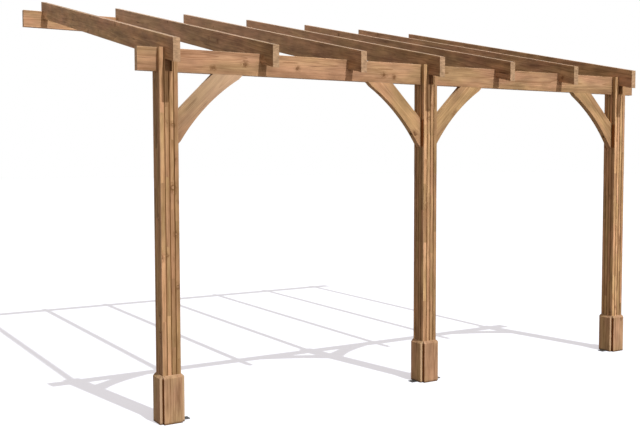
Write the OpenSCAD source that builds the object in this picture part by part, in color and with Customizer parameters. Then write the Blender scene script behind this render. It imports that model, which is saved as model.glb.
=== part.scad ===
// Wooden lean-to pergola: three grooved posts carry a front beam, and seven rafters run from
// the beam up to a plate on the wall. Millimetres. The origin is the middle of the plate's
// back face, +X runs right along the wall, +Y points into the wall and +Z points up.

/* [Layout] */
// Distance between the centres of neighbouring posts
post_spacing = 2000; // [1500:10:2600]
// Distance from the wall to the centre line of the posts
post_line = 2975; // [2000:5:4000]
// Height of the beam's underside above the ground
beam_underside = 2185; // [1900:5:2500]
// Slope of the rafters in degrees
roof_pitch = 11.7; // [5:0.1:20]

/* [Posts] */
// Side of the square posts
post_side = 120; // [110:1:160]
// Width of a groove at the post's surface
groove_w = 8; // [5:0.5:10]
// Width of a groove at its floor
groove_floor_w = 5; // [2:0.5:5]
// Depth of a groove
groove_d = 6; // [3:0.5:10]
// Bevel on the posts' corners
post_bevel = 2; // [1:0.5:6]

/* [Beam and wall plate] */
// Thickness of the front beam
beam_t = 45; // [35:1:60]
// Height of the front beam
beam_h = 145; // [120:1:220]
// Length of the beam and the plate beyond the outer posts' faces
beam_overhang = 125; // [60:5:300]
// Thickness of the wall plate
plate_t = 45; // [35:1:60]
// Height of the wall plate
plate_h = 145; // [120:1:220]

/* [Rafters] */
// Thickness of the rafters
rafter_t = 45; // [35:1:60]
// Depth of the rafters, square to their slope
rafter_h = 141; // [120:1:180]
// Depth of the notches over the beam and the plate
seat_d = 63.5; // [30:0.5:80]
// Length of the rafter tails in front of the posts
tail_l = 138; // [80:1:300]
// Space between the rafters' back ends and the wall
wall_gap = 5; // [2:1:20]

/* [Braces] */
// Thickness of the braces
brace_t = 45; // [35:1:60]
// Width of the board that a brace is cut from
brace_w = 145; // [110:1:180]
// Length of the open corner above a brace, along post and beam
brace_leg = 250; // [180:5:320]
// Straight length at each end of a brace's curved edge
brace_nib = 38; // [20:1:60]
// Depth of the curved edge
brace_rise = 32; // [15:1:45]
// Diameter of the screw pockets
pocket_d = 20; // [14:1:25]
// Depth of the screw pockets
pocket_depth = 24; // [12:1:30]
// Height of a screw pocket above the brace's tip
pocket_up = 100; // [80:5:140]

/* [Skirts] */
// Thickness of the skirt boards
skirt_t = 21; // [17:1:30]
// Height of the skirt boards
skirt_h = 305; // [200:5:400]
// Bevel along the top of the skirt boards
skirt_bevel = 16; // [5:1:16]
// Bevel on the upright edges of the skirt boards
skirt_edge = 1; // [1:0.5:6]

/* [Foot angles] */
// Width of the steel foot angles
angle_w = 52; // [40:1:80]
// Reach of the angle's foot from the post's face
angle_foot = 70; // [54:1:100]
// Height of the angle's upright leg
angle_leg = 90; // [60:5:150]
// Thickness of the angle's steel
angle_t = 5; // [3:0.5:6]
// Diameter of the anchor hole in the foot
anchor_d = 12; // [8:0.5:16]
// Diameter of the screw holes in the upright leg
screw_d = 7; // [4:0.5:8]

/* [Fits] */
// Clearance on each side of a board in its slot or notch
slot_clear = 0.5; // [0.2:0.1:1]
// Clearance round a foot angle in its skirt
angle_clear = 1; // [0.5:0.5:2]
// Bevel on the long edges of beam, plate and rafters
board_bevel = 1.5; // [1:0.5:5]

/* [Hidden] */
$fn = 96;

// Which way a face of a post looks, as a turn about the post's axis
RIGHT = 0;
BACK = 90;
LEFT = 180;
FRONT = 270;

// How far a cutting shape runs past the surface that it cuts
over = 1;
// Grooves on each face of a post, and rafter bays between two posts
groove_count = 3;
bays_per_span = 3;

post_half = post_side / 2;
beam_top = beam_underside + beam_h;
beam_length = 2 * (post_spacing + post_half + beam_overhang);
beam_front_y = -beam_t / 2;

plate_front_y = post_line - plate_t;
plate_top = beam_top + (plate_front_y - beam_front_y) * tan(roof_pitch);
plate_middle = plate_top - plate_h / 2;

rafter_step = post_spacing / bays_per_span;
rafter_front_y = -post_half - tail_l;
rafter_back_y = post_line - wall_gap;
rafter_plumb = rafter_h / cos(roof_pitch);

brace_outer_leg = brace_leg + brace_w * sqrt(2);
brace_chord = brace_outer_leg * sqrt(2) - 2 * brace_nib;
brace_radius = (brace_chord * brace_chord / 4 + brace_rise * brace_rise) / (2 * brace_rise);
brace_middle = brace_outer_leg / 2;
brace_centre = brace_middle + (brace_radius - brace_rise) / sqrt(2);

timber = "#a97f54";
timber_dark = "#8d6844";
steel = "#5a5b5d";

// Height of a rafter's lower edge above the ground, at the distance y behind the post line
function rafter_under(y) = beam_top - seat_d + (y - beam_front_y) * tan(roof_pitch);

// Moves what is drawn about the middle post's foot into the frame of the wall plate
module to_wall() {
    translate([0, -post_line, -plate_middle]) children();
}

// A rectangle w by h about the origin, with its corners cut off by c
module bevelled_square(w, h, c) {
    polygon([
        [-w / 2 + c, -h / 2], [w / 2 - c, -h / 2], [w / 2, -h / 2 + c], [w / 2, h / 2 - c],
        [w / 2 - c, h / 2], [-w / 2 + c, h / 2], [-w / 2, h / 2 - c], [-w / 2, -h / 2 + c]
    ]);
}

// A straight board along X with bevelled long edges, centred on the origin
module board(length, t, h) {
    rotate([90, 0, 90]) linear_extrude(length, center = true) bevelled_square(t, h, board_bevel);
}

// One groove in a face that looks along +X, cut inwards from the post's surface
module groove() {
    mouth = groove_w / 2;
    floor = groove_floor_w / 2;
    flare = (mouth - floor) / groove_d * over;
    polygon([
        [post_half + over, -mouth - flare], [post_half + over, mouth + flare],
        [post_half - groove_d, floor], [post_half - groove_d, -floor]
    ]);
}

// Section of a post, with evenly spaced grooves on all four faces
module post_section() {
    pitch = post_side / (groove_count + 1);
    difference() {
        bevelled_square(post_side, post_side, post_bevel);
        for (turn = [RIGHT, BACK, LEFT, FRONT], i = [1 : groove_count])
            rotate(turn) translate([0, i * pitch - post_half]) groove();
    }
}

// Post with a crossed slot in its head: the beam lies in one cut and a rafter in the other
module post() {
    slot_h = beam_h + over;
    color(timber) difference() {
        linear_extrude(beam_top) post_section();
        translate([-post_side, -beam_t / 2 - slot_clear, beam_underside])
            cube([2 * post_side, beam_t + 2 * slot_clear, slot_h]);
        translate([-rafter_t / 2 - slot_clear, -post_side, beam_underside])
            cube([rafter_t + 2 * slot_clear, 2 * post_side, slot_h]);
    }
}

// Rafter number i from the left: a sloping board with plumb ends, a notch that straddles the
// beam and a level seat on the plate
module rafter(i) {
    run = rafter_back_y - rafter_front_y;
    middle_y = (rafter_back_y + rafter_front_y) / 2;
    blank_l = run / cos(roof_pitch) + 2 * rafter_h;
    cut_w = 2 * rafter_t;
    heel_y = plate_front_y - slot_clear;
    color(timber) translate([(i - 1 - bays_per_span) * rafter_step, 0, 0]) difference() {
        intersection() {
            translate([0, middle_y, rafter_under(middle_y) + rafter_plumb / 2])
                rotate([roof_pitch, 0, 0]) rotate(90) board(blank_l, rafter_t, rafter_h);
            translate([-cut_w / 2, rafter_front_y, 0]) cube([cut_w, run, 2 * plate_top]);
        }
        translate([-cut_w / 2, beam_front_y - slot_clear, 0])
            cube([cut_w, beam_t + 2 * slot_clear, beam_top]);
        translate([-cut_w / 2, heel_y, 0]) cube([cut_w, run, plate_top]);
    }
}

// Front view of a brace in the corner to the right of a post: its straight upper edge, its
// ends on the post and the beam, and a curved lower edge between two straight nibs
module brace_outline() {
    difference() {
        polygon([
            [0, -brace_leg], [brace_leg, 0], [brace_outer_leg, 0], [0, -brace_outer_leg]
        ]);
        translate([brace_centre, -brace_centre]) circle(brace_radius, $fn = 360);
    }
}

// Distance of the curved edge from the post, at the height up above the brace's tip
function brace_edge(up) =
    let (drop = brace_centre - brace_outer_leg + up)
    brace_centre - sqrt(brace_radius * brace_radius - drop * drop);

// Screw pocket that runs level into the curved edge, towards the post
module screw_pocket() {
    edge = brace_edge(pocket_up);
    translate([edge - pocket_depth, 0, pocket_up - brace_outer_leg])
        rotate([0, 90, 0]) cylinder(d = pocket_d, h = brace_outer_leg);
}

// Brace in the corner to the right of the middle post, below the beam
module brace() {
    color(timber) difference() {
        rotate([90, 0, 0]) linear_extrude(brace_t, center = true) brace_outline();
        screw_pocket();
        mirror([1, 0, 1]) screw_pocket();
    }
}

// Brace of the post at x; side is 1 to the post's right and -1 to its left
module brace_at(x, side) {
    to_wall() translate([x + side * post_half, 0, beam_underside])
        mirror([side < 0 ? 1 : 0, 0, 0]) brace();
}

// Skirt board against the face of a post that looks along +X, bevelled along its top and its
// upright edges, and with room behind and below for a foot angle if it covers one
module skirt(over_angle) {
    pocket_w = angle_w + 2 * angle_clear;
    color(timber_dark) translate([post_half, 0, 0]) difference() {
        linear_extrude(skirt_h) polygon([
            [0, -post_half], [skirt_t - skirt_edge, -post_half],
            [skirt_t, -post_half + skirt_edge], [skirt_t, post_half - skirt_edge],
            [skirt_t - skirt_edge, post_half], [0, post_half]
        ]);
        rotate([90, 0, 0]) linear_extrude(2 * post_side, center = true) polygon([
            [skirt_t + over, skirt_h - skirt_bevel - over], [skirt_t + over, skirt_h + over],
            [skirt_t - skirt_bevel - over, skirt_h + over]
        ]);
        if (over_angle) {
            translate([-over, -pocket_w / 2, -over])
                cube([angle_t + angle_clear + over, pocket_w, angle_leg + angle_clear + over]);
            translate([-over, -pocket_w / 2, -over])
                cube([skirt_t + 2 * over, pocket_w, angle_t + angle_clear + over]);
        }
    }
}

// Skirt board of the post at x, on the face that looks the way of turn
module skirt_at(x, turn, over_angle = false) {
    to_wall() translate([x, 0, 0]) rotate(turn) skirt(over_angle);
}

// Steel angle against the face of a post that looks along +X: one leg on the post, one on
// the ground that reaches out past the skirt board
module foot_angle() {
    anchor_x = (skirt_t + angle_foot) / 2;
    color(steel) translate([post_half, 0, 0]) difference() {
        union() {
            translate([0, -angle_w / 2, 0]) cube([angle_foot, angle_w, angle_t]);
            translate([0, -angle_w / 2, 0]) cube([angle_t, angle_w, angle_leg]);
        }
        translate([anchor_x, 0, -over]) cylinder(d = anchor_d, h = angle_t + 2 * over);
        for (side = [-1, 1])
            translate([-over, side * angle_w / 4, angle_leg * 2 / 3])
                rotate([0, 90, 0]) cylinder(d = screw_d, h = angle_t + 2 * over);
    }
}

// Foot angle of the post at x, on the face that looks the way of turn
module foot_angle_at(x, turn) {
    to_wall() translate([x, 0, 0]) rotate(turn) foot_angle();
}

// Front beam, lying in the heads of the posts
module front_beam() {
    color(timber) to_wall()
        translate([0, 0, beam_underside + beam_h / 2]) board(beam_length, beam_t, beam_h);
}

// Plate along the wall, under the rafters' upper ends
module wall_plate() {
    color(timber) translate([0, -plate_t / 2, 0]) board(beam_length, plate_t, plate_h);
}

module left_post() { to_wall() translate([-post_spacing, 0, 0]) post(); }
module middle_post() { to_wall() post(); }
module right_post() { to_wall() translate([post_spacing, 0, 0]) post(); }

left_post();
middle_post();
right_post();
front_beam();
wall_plate();
to_wall() rafter(1);  // rafter_1
to_wall() rafter(2);  // rafter_2
to_wall() rafter(3);  // rafter_3
to_wall() rafter(4);  // rafter_4
to_wall() rafter(5);  // rafter_5
to_wall() rafter(6);  // rafter_6
to_wall() rafter(7);  // rafter_7
brace_at(-post_spacing, 1);  // left_brace
brace_at(0, -1);  // middle_left_brace
brace_at(0, 1);  // middle_right_brace
brace_at(post_spacing, -1);  // right_brace
skirt_at(-post_spacing, FRONT);  // left_post_front_skirt
skirt_at(-post_spacing, BACK);  // left_post_back_skirt
skirt_at(-post_spacing, LEFT);  // left_post_left_skirt
skirt_at(-post_spacing, RIGHT, true);  // left_post_right_skirt
skirt_at(0, FRONT);  // middle_post_front_skirt
skirt_at(0, BACK);  // middle_post_back_skirt
skirt_at(0, LEFT, true);  // middle_post_left_skirt
skirt_at(0, RIGHT, true);  // middle_post_right_skirt
skirt_at(post_spacing, FRONT);  // right_post_front_skirt
skirt_at(post_spacing, BACK);  // right_post_back_skirt
skirt_at(post_spacing, LEFT, true);  // right_post_left_skirt
skirt_at(post_spacing, RIGHT);  // right_post_right_skirt
foot_angle_at(-post_spacing, RIGHT);  // left_post_foot_angle
foot_angle_at(0, LEFT);  // middle_post_left_foot_angle
foot_angle_at(0, RIGHT);  // middle_post_right_foot_angle
foot_angle_at(post_spacing, LEFT);  // right_post_foot_angle
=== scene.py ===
"""Looks of a wooden lean-to pergola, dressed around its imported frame.

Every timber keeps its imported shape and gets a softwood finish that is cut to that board: its grain runs
along the board, its growth rings curve round a pith, and knots, streaks and drying cracks follow from them.
"""

import logging
import math
from dataclasses import dataclass, replace
from enum import Enum

import bmesh
import bpy
from mathutils import Euler, Matrix, Vector


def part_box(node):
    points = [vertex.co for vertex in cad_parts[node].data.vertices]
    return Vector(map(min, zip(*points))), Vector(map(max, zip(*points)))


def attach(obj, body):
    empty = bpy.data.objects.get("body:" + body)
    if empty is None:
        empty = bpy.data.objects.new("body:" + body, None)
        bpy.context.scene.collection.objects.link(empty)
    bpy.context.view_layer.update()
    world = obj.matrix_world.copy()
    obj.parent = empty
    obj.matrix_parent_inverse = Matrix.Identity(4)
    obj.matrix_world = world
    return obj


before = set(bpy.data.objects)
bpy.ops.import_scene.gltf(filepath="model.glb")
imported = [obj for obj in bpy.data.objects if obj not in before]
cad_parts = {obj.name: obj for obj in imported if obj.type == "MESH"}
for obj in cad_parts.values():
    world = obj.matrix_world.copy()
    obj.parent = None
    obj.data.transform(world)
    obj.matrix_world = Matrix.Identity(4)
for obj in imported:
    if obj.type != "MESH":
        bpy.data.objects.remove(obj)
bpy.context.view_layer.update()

LOG = logging.getLogger("pergola")
BODY = "root"
MM = 0.001
# Shift from one board's patterns to the next one's, in metres.
BOARD_STEP = Vector((7.31, 3.17, 5.23))
# Factors of the sine hash that draws a board's random numbers.
HASH_BOARD, HASH_SALT, HASH_SPREAD = 12.9898, 78.233, 43758.5453
# Distances along the grain count less at a knot, which is a little longer that way.
KNOT_DRAW = 0.8
# Distance, in a knot's radii, that stands for no knot at all.
NO_KNOT = 99.0
# Sockets of a Mix node for colours: what lies under, what lies over, and the result.
UNDER, OVER, MIXED = 6, 7, 2

Colour = tuple[float, float, float, float]
Material = bpy.types.Material
Socket = bpy.types.NodeSocket
Tree = bpy.types.NodeTree


def linear(hex_colour: str) -> Colour:
    """Turn an sRGB hex colour into the linear values that shaders take.

    Args:
        hex_colour: Six hex digits after a hash sign.

    Returns:
        Linear red, green and blue, and an alpha of 1.
    """
    parts = [int(hex_colour[i:i + 2], 16) / 255 for i in (1, 3, 5)]
    r, g, b = (c / 12.92 if c <= 0.04045 else ((c + 0.055) / 1.055) ** 2.4 for c in parts)
    return (r, g, b, 1.0)


def add_node(
    tree: Tree,
    kind: str,
    inputs: dict[int | str, object] | None = None,
    out: int | str = 0,
    **settings: object,
) -> Socket | None:
    """Add a shader node with its settings and links.

    Args:
        tree: Node tree that gets the node.
        kind: Node type without its ShaderNode prefix.
        inputs: Value or output socket for each input, by index or name.
        out: Output to return, by index or name.
        settings: Properties of the node.

    Returns:
        The chosen output socket, or None for a node without outputs.
    """
    node = tree.nodes.new("ShaderNode" + kind)
    for name, value in settings.items():
        setattr(node, name, value)
    for key, value in (inputs or {}).items():
        if isinstance(value, Socket):
            tree.links.new(value, node.inputs[key])
        else:
            node.inputs[key].default_value = value
    return node.outputs[out] if node.outputs else None


def new_material(name: str) -> tuple[Material, Tree]:
    """Start an empty node material.

    Args:
        name: Name of the material.

    Returns:
        The material and its empty node tree.
    """
    material = bpy.data.materials.new(name)
    material.use_nodes = True
    material.node_tree.nodes.clear()
    return material, material.node_tree


class Grain(Enum):
    """Directions of a board's grain and of its width.

    An upright board's third direction is the way that it faces.
    """

    ALONG_WALL = ((1, 0, 0), (0, 0, 1))
    UPRIGHT_FACING_FRONT = ((0, 0, 1), (-1, 0, 0))
    UPRIGHT_FACING_BACK = ((0, 0, 1), (1, 0, 0))
    UPRIGHT_FACING_LEFT = ((0, 0, 1), (0, 1, 0))
    UPRIGHT_FACING_RIGHT = ((0, 0, 1), (0, -1, 0))
    BRACE_RISING_RIGHT = ((1, 0, 1), (-1, 0, 1))
    BRACE_RISING_LEFT = ((-1, 0, 1), (1, 0, 1))


class Draw(Enum):
    """What is left to chance on each board; the value salts the draw."""

    PITH_ACROSS = 1
    PITH_SIDE = 2
    PITH_DEPTH = 3
    PITH_TILT = 4
    LEVEL = 5
    PITH_TURN = 6


@dataclass(frozen=True)
class Knot:
    """A knot that runs through a board from face to face.

    Attributes:
        along: Distance from the board's middle along its grain, in millimetres.
        across: Distance from the board's middle across its width, in millimetres.
        radius: Radius of the knot, in millimetres.
    """

    along: float
    across: float
    radius: float


@dataclass(frozen=True)
class Board:
    """Where a board lies and which way it was sawn.

    Attributes:
        middle: Middle of the board.
        along: Direction of its grain.
        across: Direction of its width.
        length: Size along the grain, in metres.
        width: Size along across, in metres.
        thickness: Size along the third direction, in metres.
        number: Number that sets the board's own rings, streaks and tone.
        knots: Knots whose places are known, besides those that are spread by chance.
        fade: How much light is painted on its far end, as painted light that grows from its near end; the
            whole board is painted darker by half of that, as painted shade.
    """

    middle: Vector
    along: Vector
    across: Vector
    length: float
    width: float
    thickness: float
    number: int
    knots: tuple[Knot, ...] = ()
    fade: float = 0.0

    def turn(self) -> Euler:
        """Return the rotation from the grain's axes to the frame's axes."""
        x = self.along.normalized()
        y = self.across.normalized()
        return Matrix((x, y, x.cross(y))).transposed().to_euler()

    def seed(self) -> Vector:
        """Return a shift of the patterns that no other board has."""
        return BOARD_STEP * (self.number + 1)

    def chance(self, draw: Draw) -> float:
        """Return a number from 0 to 1 that is fixed for this board and draw."""
        angle = (self.number + 1) * HASH_BOARD + draw.value * HASH_SALT
        return math.modf(abs(math.sin(angle)) * HASH_SPREAD)[0]


@dataclass(frozen=True)
class Softwood:
    """Planed and oiled pine: pale earlywood, thin dark latewood, red-brown knots and a dull, oiled surface.

    Attributes:
        name: Name of the finish.
        earlywood: Colour of the wide pale part of a growth ring.
        latewood: Colour of the narrow dark part of a growth ring.
        streak: Colour of the darker, resin-rich streaks.
        blush: Tint of the redder patches.
        honey: Tint of the yellower patches.
        knot: Colour of a knot's heart.
        knot_rim: Colour of the dark bark round a knot.
        crack: Colour inside the drying cracks.
        sawn: Colour of the sawn ends.
        worn: Colour of edges that are rubbed pale.
        far_light_tone: Pale colour of the painted light towards a board's far end.
        weathered: Silver grey of wood that rain and sun have bleached.
        weathered_share: How far the faces that look up have turned to it.
        ring_mm: Spacing of the growth rings.
        pith_mm: Spread of the pith across the board, its least depth, and the spread of that depth.
        pith_askew: Most that the pith leans up or down and to the sides, in degrees.
        sway_mm: Length and width of the slow waves in the rings.
        sway_reach_mm: How far those waves shift a ring.
        band_mm: Width of a group of darker or paler rings.
        patch_mm: Length and width of the redder and yellower patches.
        blotch_mm: Length and width of the blotches where the wood took more oil.
        blotch_depth: How much darker those blotches are.
        streak_mm: Length and width of the streaks.
        streak_share: How fully the streaks cover the wood.
        level: Usual brightness of a board.
        level_spread: How much that differs from board to board.
        cloud_mm: Size of the slow changes in brightness.
        fibre_mm: Length and width of the fibre lines, drawn wide enough to show.
        knot_spacing_mm: Usual distance between places where a knot may be.
        knot_share: Share of those places that have one.
        knot_mm: Usual radius of a knot.
        knot_bump_mm: Size and reach of the bumps in a knot's outline.
        knot_bend_mm: How far a knot pushes the rings aside.
        resin_mm: Size of the resin spots round a knot.
        mottle_mm: Size of the spots in a knot's heart.
        crack_mm: Length and spacing of the drying cracks.
        crack_patch_mm: Length and width of the places that have any.
        edge_mm: Width of the pale line along an edge.
        rub_mm: Length of the rubbed stretches of that line.
        saw_mm: Spacing of the saw marks on the ends, drawn coarse enough to show.
        roughness: Roughness of the earlywood.
        relief_mm: Height of the surface relief.
    """

    name: str
    earlywood: str = "#c7a786"
    latewood: str = "#997857"
    streak: str = "#79583a"
    blush: str = "#fff1eb"
    honey: str = "#f6f4e1"
    knot: str = "#7c5233"
    knot_rim: str = "#5c3a1b"
    crack: str = "#4a2f1a"
    sawn: str = "#bb9e80"
    worn: str = "#d3b797"
    far_light_tone: str = "#e8c0a6"
    weathered: str = "#8c8278"
    weathered_share: float = 0.5
    ring_mm: float = 5.0
    pith_mm: tuple[float, float, float] = (90.0, 50.0, 60.0)
    pith_askew: tuple[float, float] = (1.2, 1.6)
    sway_mm: tuple[float, float] = (1000.0, 90.0)
    sway_reach_mm: float = 30.0
    band_mm: float = 26.0
    patch_mm: tuple[float, float] = (428.57143, 150.0)
    blotch_mm: tuple[float, float] = (170.0, 55.0)
    blotch_depth: float = 0.38
    streak_mm: tuple[float, float] = (280.0, 22.0)
    streak_share: float = 0.6
    level: float = 1.0
    level_spread: float = 0.12
    cloud_mm: float = 380.0
    fibre_mm: tuple[float, float] = (80.0, 2.0)
    knot_spacing_mm: float = 100.0
    knot_share: float = 0.22
    knot_mm: float = 10.0
    knot_bump_mm: tuple[float, float] = (24.0, 22.0)
    knot_bend_mm: float = 11.0
    resin_mm: float = 16.0
    mottle_mm: float = 6.0
    crack_mm: tuple[float, float] = (1500.0, 30.0)
    crack_patch_mm: tuple[float, float] = (225.0, 90.0)
    edge_mm: float = 4.0
    rub_mm: float = 45.0
    saw_mm: float = 30.0
    roughness: float = 0.62
    relief_mm: float = 0.5

    def material(self, name: str, board: Board) -> Material:
        """Build the finish for one board.

        Args:
            name: Name of the material.
            board: The board that it is cut for.

        Returns:
            The finished material.
        """
        material, tree = new_material(name)
        place = self.board_place(tree, board)
        own = self.own_place(tree, place, board)
        ends = self.end_mask(tree, board)
        near = self.knot_distance(tree, place, own, ends, board)
        radius = self.ring_radius(tree, place, own, near, board)
        rings = self.rings(tree, radius)
        fibre = self.fibre(tree, own)
        cracks = self.cracks(tree, own)
        colour = self.grain_colour(tree, own, radius, rings, fibre)
        colour = self.tone(tree, place, colour, board)
        colour = self.knot_colour(tree, own, colour, near)
        colour = self.wear(tree, place, colour, board)
        colour = self.weather(tree, colour)
        colour = self.end_grain(tree, colour, ends)
        colour = add_node(tree, "Mix", {0: cracks, UNDER: colour, OVER: linear(self.crack)}, MIXED,
                          data_type="RGBA")
        self.surface(tree, colour, rings, fibre, cracks)
        return material

    def board_place(self, tree: Tree, board: Board) -> Socket:
        """Return coordinates in metres from the board's middle, with X along its grain."""
        coords = add_node(tree, "TexCoord", out="Object")
        inputs = {0: coords, 1: board.middle, 2: board.turn()}
        return add_node(tree, "Mapping", inputs, vector_type="TEXTURE")

    def own_place(self, tree: Tree, place: Socket, board: Board) -> Socket:
        """Return the board's coordinates, shifted so that no two boards look alike."""
        return add_node(tree, "VectorMath", {0: place, 1: board.seed()}, operation="ADD")

    def drawn_out(self, tree: Tree, own: Socket, size_mm: tuple[float, float], detail: float,
                  roughness: float = 0.5) -> Socket:
        """Lay a cloudy pattern that is drawn out along the grain.

        Args:
            tree: Node tree of the material.
            own: The board's shifted coordinates.
            size_mm: Length and width of its clouds.
            detail: Number of finer layers in it.
            roughness: How much those layers count.

        Returns:
            The pattern, from 0 to 1 and mostly about 0.5.
        """
        length, width = size_mm
        drawn = add_node(tree, "VectorMath", {0: own, 1: (width / length, 1.0, 1.0)}, operation="MULTIPLY")
        return add_node(tree, "TexNoise", {"Vector": drawn, "Scale": 1 / (width * MM), "Detail": detail,
                                           "Roughness": roughness})

    def end_mask(self, tree: Tree, board: Board) -> Socket:
        """Return 1 on the board's sawn ends and 0 on its sides."""
        normal = add_node(tree, "TexCoord", out="Normal")
        facing = add_node(tree, "VectorMath", {0: normal, 1: board.along.normalized()}, "Value",
                          operation="DOT_PRODUCT")
        facing = add_node(tree, "Math", {0: facing}, operation="ABSOLUTE")
        return add_node(tree, "MapRange", {0: facing, 1: 0.7, 2: 0.95})

    def knot_distance(self, tree: Tree, place: Socket, own: Socket, ends: Socket,
                      board: Board) -> Socket:
        """Measure how far each point is from its nearest knot; the sawn ends show none.

        Args:
            tree: Node tree of the material.
            place: The board's coordinates.
            own: The board's shifted coordinates.
            ends: Mask of the sawn ends.
            board: The board.

        Returns:
            The distance in radii of that knot.
        """
        bump, reach = (size * MM for size in self.knot_bump_mm)
        wobble = add_node(tree, "TexNoise", {"Vector": own, "Scale": 1 / bump, "Detail": 3.0}, "Color")
        wobble = add_node(tree, "VectorMath", {0: wobble, 1: (0.5, 0.5, 0.5)}, operation="SUBTRACT")
        wobble = add_node(tree, "VectorMath", {0: wobble, "Scale": reach}, operation="SCALE")
        spacing = self.knot_spacing_mm * MM
        bent = add_node(tree, "VectorMath", {0: own, 1: wobble}, operation="ADD")
        bent = add_node(tree, "VectorMath", {0: bent, 1: (KNOT_DRAW, 1.0, 1.0)}, operation="MULTIPLY")
        cells = add_node(tree, "TexVoronoi", {"Vector": bent, "Scale": 1 / spacing})
        pick = add_node(tree, "SeparateColor", {0: cells.node.outputs["Color"]})
        absent = add_node(tree, "Math", {0: pick, 1: self.knot_share}, operation="GREATER_THAN")
        size = add_node(tree, "MapRange", {0: pick.node.outputs[1], 3: 0.5, 4: 1.25})
        near = add_node(tree, "Math", {0: cells, 1: spacing / (self.knot_mm * MM)}, operation="MULTIPLY")
        near = add_node(tree, "Math", {0: near, 1: size}, operation="DIVIDE")
        near = add_node(tree, "Math", {0: absent, 1: NO_KNOT, 2: near}, operation="MULTIPLY_ADD")
        bent = add_node(tree, "VectorMath", {0: place, 1: wobble}, operation="ADD")
        for knot in board.knots:
            scale = Vector((KNOT_DRAW, 1.0, 0.0)) / (knot.radius * MM)
            shift = Vector((-knot.along * scale.x, -knot.across * scale.y, 0.0)) * MM
            known = add_node(tree, "VectorMath", {0: bent, 1: scale, 2: shift}, operation="MULTIPLY_ADD")
            known = add_node(tree, "VectorMath", {0: known}, "Value", operation="LENGTH")
            near = add_node(tree, "Math", {0: near, 1: known}, operation="MINIMUM")
        return add_node(tree, "Math", {0: ends, 1: NO_KNOT, 2: near}, operation="MULTIPLY_ADD")

    def ring_radius(self, tree: Tree, place: Socket, own: Socket, near: Socket,
                    board: Board) -> Socket:
        """Measure how far each point is from a pith that runs askew past the board.

        Args:
            tree: Node tree of the material.
            place: The board's coordinates.
            own: The board's shifted coordinates.
            near: Distance from the nearest knot, round which the grain bends.
            board: The board.

        Returns:
            The distance in metres.
        """
        side = 1 if board.chance(Draw.PITH_SIDE) > 0.5 else -1
        spread, depth, more = (size * MM for size in self.pith_mm)
        off = Vector((0, (board.chance(Draw.PITH_ACROSS) - 0.5) * spread,
                      side * (depth + more * board.chance(Draw.PITH_DEPTH))))
        draws = zip(self.pith_askew, (Draw.PITH_TILT, Draw.PITH_TURN))
        askew = Euler((0, *(math.radians(most) * (board.chance(draw) - 0.5) for most, draw in draws)))
        pith = add_node(tree, "Mapping", {0: place, 1: off, 2: askew}, vector_type="TEXTURE")
        section = add_node(tree, "VectorMath", {0: pith, 1: (0.0, 1.0, 1.0)}, operation="MULTIPLY")
        radius = add_node(tree, "VectorMath", {0: section}, "Value", operation="LENGTH")
        sway = self.drawn_out(tree, own, self.sway_mm, 2.0)
        radius = add_node(tree, "Math", {0: sway, 1: self.sway_reach_mm * MM, 2: radius},
                          operation="MULTIPLY_ADD")
        bend = add_node(tree, "MapRange", {0: near, 1: 3.5, 2: 0.4, 4: self.knot_bend_mm * MM},
                        interpolation_type="SMOOTHSTEP")
        return add_node(tree, "Math", {0: radius, 1: bend}, operation="ADD")

    def rings(self, tree: Tree, radius: Socket) -> Socket:
        """Return how dark the growth ring is, from 0 in spring to 1 at the end of summer."""
        growth = add_node(tree, "Math", {0: radius, 1: 1 / (self.ring_mm * MM)}, operation="MULTIPLY")
        growth = add_node(tree, "Math", {0: growth}, operation="FRACT")
        return add_node(tree, "Math", {0: growth, 1: 2.6}, operation="POWER")

    def fibre(self, tree: Tree, own: Socket) -> Socket:
        """Return fine lines along the grain, from 0 to 1."""
        return self.drawn_out(tree, own, self.fibre_mm, 3.0)

    def cracks(self, tree: Tree, own: Socket) -> Socket:
        """Return a mask of a few thin drying cracks along the grain."""
        lines = self.drawn_out(tree, own, self.crack_mm, 1.0)
        lines = add_node(tree, "Math", {0: lines, 1: 0.5}, operation="SUBTRACT")
        lines = add_node(tree, "Math", {0: lines}, operation="ABSOLUTE")
        thin = add_node(tree, "MapRange", {0: lines, 1: 0.012, 2: 0.003})
        patch = self.drawn_out(tree, own, self.crack_patch_mm, 0.0)
        patch = add_node(tree, "MapRange", {0: patch, 1: 0.6, 2: 0.7, 4: 0.7})
        return add_node(tree, "Math", {0: thin, 1: patch}, operation="MULTIPLY")

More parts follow.
